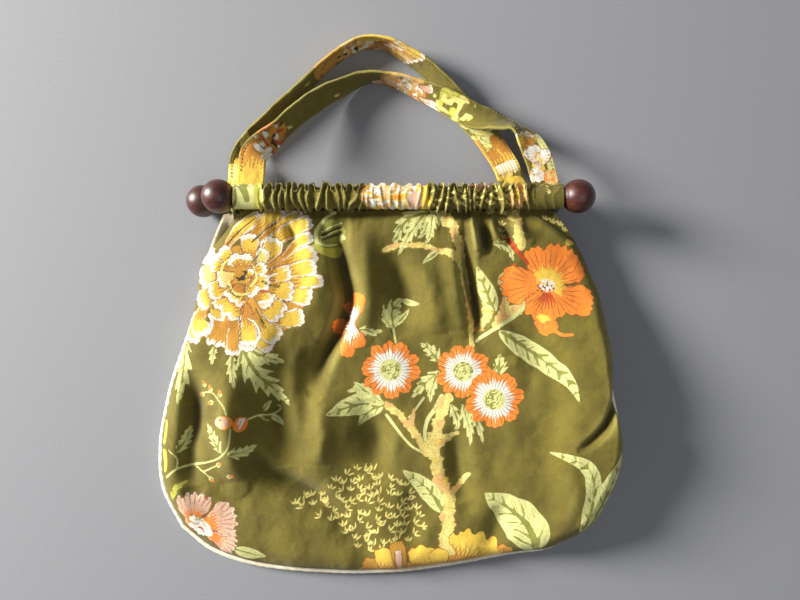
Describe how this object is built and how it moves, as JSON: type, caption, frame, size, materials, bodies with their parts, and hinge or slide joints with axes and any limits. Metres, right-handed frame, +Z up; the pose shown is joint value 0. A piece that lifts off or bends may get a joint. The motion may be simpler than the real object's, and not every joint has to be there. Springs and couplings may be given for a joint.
{
  "type": "knitting bag",
  "caption": "Soft floral-print knitting bag gathered onto wooden rods with ball ends, with fabric strap handles, lying on its back.",
  "frame": {"origin": "centre of the footprint, on the surface that the bag's back lies on", "axes": "+Z up out of the bag's front as it lies on its back, +Y from the bottom seam towards the handles, +X across the bag to the right, along the rods"},
  "size_m": [0.451, 0.5317, 0.0595],
  "materials": {
    "printed_cotton": "olive cotton twill with a large printed flower pattern",
    "strap_cotton": "the same printed twill, folded and stitched into straps",
    "lining_cotton": "plain cream cotton",
    "piping_cotton": "cream bias binding over cord",
    "dark_wood": "satin red-brown stain and varnish"
  },
  "bodies": {
    "back": {"rear_panel": "printed_cotton", "rear_lining": "lining_cotton", "front_panel_lower": "printed_cotton", "front_lining_lower": "lining_cotton", "side_piping": "piping_cotton", "rear_casing": "printed_cotton", "rear_left_tab": "strap_cotton", "rear_right_tab": "strap_cotton"},
    "front_mouth": {"front_panel_upper": "printed_cotton", "front_lining_upper": "lining_cotton", "front_casing": "printed_cotton", "front_left_tab": "strap_cotton", "front_right_tab": "strap_cotton"},
    "front_rod": {"front_dowel": "dark_wood", "front_left_ball": "dark_wood", "front_right_ball": "dark_wood"},
    "rear_rod": {"rear_dowel": "dark_wood", "rear_left_ball": "dark_wood", "rear_right_ball": "dark_wood"},
    "front_strap": {"front_handle": "strap_cotton"},
    "rear_strap": {"rear_handle": "strap_cotton"}
  },
  "joints": [
    {"name": "mouth_open", "type": "hinge", "parent": "back", "child": "front_mouth", "pos_m": [0, 0.046, 0.035], "axis": [1, 0, 0], "range_deg": [0, 60]},
    {"name": "front_rod_spin", "type": "hinge", "parent": "front_mouth", "child": "front_rod", "pos_m": [0.0105, 0.0995, 0.044], "axis": [1, 0, 0], "continuous": true},
    {"name": "rear_rod_spin", "type": "hinge", "parent": "back", "child": "rear_rod", "pos_m": [-0.013, 0.0995, 0.016], "axis": [1, 0, 0], "continuous": true},
    {"name": "front_handle_swing", "type": "hinge", "parent": "front_mouth", "child": "front_strap", "pos_m": [0, 0.1245, 0.044], "axis": [1, 0, 0], "range_deg": [0, 130]},
    {"name": "rear_handle_swing", "type": "hinge", "parent": "back", "child": "rear_strap", "pos_m": [0, 0.1245, 0.016], "axis": [1, 0, 0], "range_deg": [-115, 0]}
  ]
}
